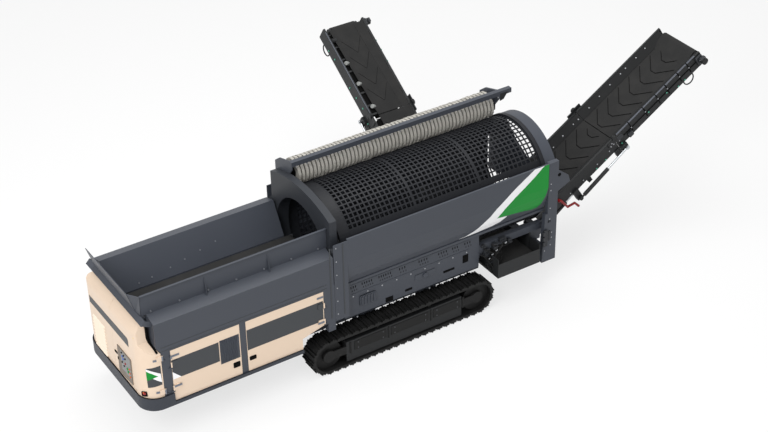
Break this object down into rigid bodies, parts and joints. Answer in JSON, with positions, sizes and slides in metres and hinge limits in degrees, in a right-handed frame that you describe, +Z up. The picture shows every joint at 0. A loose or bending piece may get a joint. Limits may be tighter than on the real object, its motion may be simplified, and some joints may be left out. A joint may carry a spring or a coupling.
{
  "type": "tracked trommel screen",
  "caption": "Drum screen on crawler tracks with a belt-fed hopper at the front, a round brush over the drum and two folding belt conveyors, one at the side and one at the rear.",
  "frame": {"origin": "on the ground, under the middle of the whole outline", "axes": "+X from the engine end to the rear conveyor, +Y to the side of the fines conveyor, +Z up"},
  "size_m": [13.4602, 6.7792, 3.8829],
  "materials": {
    "anthracite": "satin",
    "beige": "satin",
    "conveyor_black": "satin",
    "dark_steel": "dull",
    "drum_steel": "satin",
    "engine": "rough",
    "belt": "matte",
    "bristle": "matte",
    "track_steel": "satin",
    "chrome_rod": "polished"
  },
  "bodies": {
    "machine": {"base_pan": "anthracite", "door_frames": "anthracite", "engine_block": "engine", "hopper_wall_near": "anthracite", "hopper_wall_far": "anthracite", "hopper_front": "anthracite", "feeder_belt": "belt", "feeder_frame": "dark_steel", "chassis_frame": "anthracite", "module_rails": "anthracite", "trommel_side_near": "anthracite", "trommel_side_far": "anthracite", "module_posts": "anthracite", "inlet_arch": "anthracite", "outlet_cover": "anthracite", "end_frame": "anthracite", "recovery_eye": "dark_steel", "brush_beam": "anthracite", "track_near": "track_steel", "track_far": "track_steel", "track_frames": "conveyor_black", "track_rollers": "track_steel", "fines_belt": "belt", "fines_frame": "dark_steel", "bed_frame": "conveyor_black", "bed_belt": "belt"},
    "drum_body": {"drum": "drum_steel", "drum_rear_ring": "drum_steel"},
    "brush_body": {"brush": "bristle"},
    "hood_near_body": {"hood_near": "beige"},
    "hood_far_body": {"hood_far": "beige"},
    "front_door_near_body": {"front_door_near": "beige"},
    "front_door_far_body": {"front_door_far": "beige"},
    "rear_door_near_body": {"rear_door_near": "beige"},
    "rear_door_far_body": {"rear_door_far": "beige"},
    "drum_roller_near_body": {"drum_roller_near": "dark_steel"},
    "drum_roller_far_body": {"drum_roller_far": "dark_steel"},
    "rear_lower": {"rear_lower_frame": "conveyor_black", "rear_lower_belt": "belt"},
    "rear_upper": {"rear_upper_frame": "conveyor_black", "rear_upper_belt": "belt"},
    "side_lower": {"side_lower_frame": "conveyor_black", "side_lower_belt": "belt"},
    "side_upper": {"side_upper_frame": "conveyor_black", "side_upper_belt": "belt"},
    "rear_lift_barrel_pair": {"rear_lift_barrels": "conveyor_black"},
    "rear_lift_rod_pair": {"rear_lift_rods": "chrome_rod"},
    "rear_fold_barrel_pair": {"rear_fold_barrels": "conveyor_black"},
    "rear_fold_rod_pair": {"rear_fold_rods": "chrome_rod"},
    "side_lift_barrel_pair": {"side_lift_barrels": "conveyor_black"},
    "side_lift_rod_pair": {"side_lift_rods": "chrome_rod"},
    "side_fold_barrel_pair": {"side_fold_barrels": "conveyor_black"},
    "side_fold_rod_pair": {"side_fold_rods": "chrome_rod"}
  },
  "joints": [
    {"name": "drum_spin", "type": "hinge", "parent": "machine", "child": "drum_body", "pos_m": [-0.03, -2, 2.237], "axis": [1, 0, 0], "continuous": true},
    {"name": "brush_spin", "type": "hinge", "parent": "machine", "child": "brush_body", "pos_m": [-0.03, -1.19996, 3.36694], "axis": [1, 0, 0], "continuous": true},
    {"name": "drum_roller_near_spin", "type": "hinge", "parent": "machine", "child": "drum_roller_near_body", "pos_m": [-0.03, -2.76511, 1.32518], "axis": [1, 0, 0], "continuous": true},
    {"name": "drum_roller_far_spin", "type": "hinge", "parent": "machine", "child": "drum_roller_far_body", "pos_m": [-0.03, -1.23489, 1.32518], "axis": [1, 0, 0], "continuous": true},
    {"name": "hood_near_hinge", "type": "hinge", "parent": "machine", "child": "hood_near_body", "pos_m": [-6.305, -3.266, 1.6], "axis": [0, 0, 1], "range_deg": [0, 90]},
    {"name": "hood_far_hinge", "type": "hinge", "parent": "machine", "child": "hood_far_body", "pos_m": [-6.305, -0.734, 1.6], "axis": [0, 0, -1], "range_deg": [0, 90]},
    {"name": "front_door_near_hinge", "type": "hinge", "parent": "machine", "child": "front_door_near_body", "pos_m": [-6.1385, -3.266, 1.4], "axis": [0, 0, -1], "range_deg": [0, 95]},
    {"name": "front_door_far_hinge", "type": "hinge", "parent": "machine", "child": "front_door_far_body", "pos_m": [-6.1385, -0.734, 1.4], "axis": [0, 0, 1], "range_deg": [0, 95]},
    {"name": "rear_door_near_hinge", "type": "hinge", "parent": "machine", "child": "rear_door_near_body", "pos_m": [-2.9555, -3.266, 1.4], "axis": [0, 0, 1], "range_deg": [0, 95]},
    {"name": "rear_door_far_hinge", "type": "hinge", "parent": "machine", "child": "rear_door_far_body", "pos_m": [-2.9555, -0.734, 1.4], "axis": [0, 0, -1], "range_deg": [0, 95]},
    {"name": "rear_lift", "type": "hinge", "parent": "machine", "child": "rear_lower", "pos_m": [2.79949, -2, 1.29679], "axis": [0, -1, 0], "range_deg": [-5, 30]},
    {"name": "rear_fold", "type": "hinge", "parent": "rear_lower", "child": "rear_upper", "pos_m": [4.38314, -2, 2.55168], "axis": [0, -1, 0], "range_deg": [0, 70]},
    {"name": "side_lift", "type": "hinge", "parent": "machine", "child": "side_lower", "pos_m": [1.49, -0.48359, 0.88005], "axis": [1, 0, 0], "range_deg": [-5, 40]},
    {"name": "side_fold", "type": "hinge", "parent": "side_lower", "child": "side_upper", "pos_m": [1.49, 1.28923, 2.29203], "axis": [1, 0, 0], "range_deg": [0, 70]},
    {"name": "rear_lift_barrel", "type": "hinge", "parent": "machine", "child": "rear_lift_barrel_pair", "pos_m": [2.56, -2, 0.76], "axis": [0, -1, 0], "range_deg": [-4.33, 20.96]},
    {"name": "rear_lift_rod", "type": "slide", "parent": "rear_lift_barrel_pair", "child": "rear_lift_rod_pair", "axis": [0.7989, 0, 0.6015], "range_m": [-0.0206, 0.1034]},
    {"name": "side_lift_barrel", "type": "hinge", "parent": "machine", "child": "side_lift_barrel_pair", "pos_m": [1.49, -1.65, 0.7], "axis": [1, 0, 0], "range_deg": [-1.86, 7.87]},
    {"name": "side_lift_rod", "type": "slide", "parent": "side_lift_barrel_pair", "child": "side_lift_rod_pair", "axis": [0, 0.9956, -0.0933], "range_m": [-0.0235, 0.1603]},
    {"name": "rear_fold_barrel", "type": "hinge", "parent": "rear_lower", "child": "rear_fold_barrel_pair", "pos_m": [3.5521, -2, 1.41332], "axis": [0, -1, 0], "range_deg": [-1, 12.86]},
    {"name": "rear_fold_rod", "type": "slide", "parent": "rear_fold_barrel_pair", "child": "rear_fold_rod_pair", "axis": [0.813, 0, 0.5823], "range_m": [-0.004, 0.399]},
    {"name": "side_fold_barrel", "type": "hinge", "parent": "side_lower", "child": "side_fold_barrel_pair", "pos_m": [1.49, 0.4903, 1.13091], "axis": [1, 0, 0], "range_deg": [-1, 12.86]},
    {"name": "side_fold_rod", "type": "slide", "parent": "side_fold_barrel_pair", "child": "side_fold_rod_pair", "axis": [0, 0.7964, 0.6048], "range_m": [-0.004, 0.399]}
  ],
  "couplings": [
    {"joint": "rear_lift_barrel", "follows": "rear_lift", "ratio": 0.66521},
    {"joint": "rear_lift_rod", "follows": "rear_lift", "m_per_rad": 0.1899},
    {"joint": "side_lift_barrel", "follows": "side_lift", "ratio": 0.17174},
    {"joint": "side_lift_rod", "follows": "side_lift", "m_per_rad": 0.22385},
    {"joint": "rear_fold_barrel", "follows": "rear_fold", "ratio": 0.16935},
    {"joint": "rear_fold_rod", "follows": "rear_fold", "m_per_rad": 0.32329},
    {"joint": "side_fold_barrel", "follows": "side_fold", "ratio": 0.16935},
    {"joint": "side_fold_rod", "follows": "side_fold", "m_per_rad": 0.32329}
  ]
}
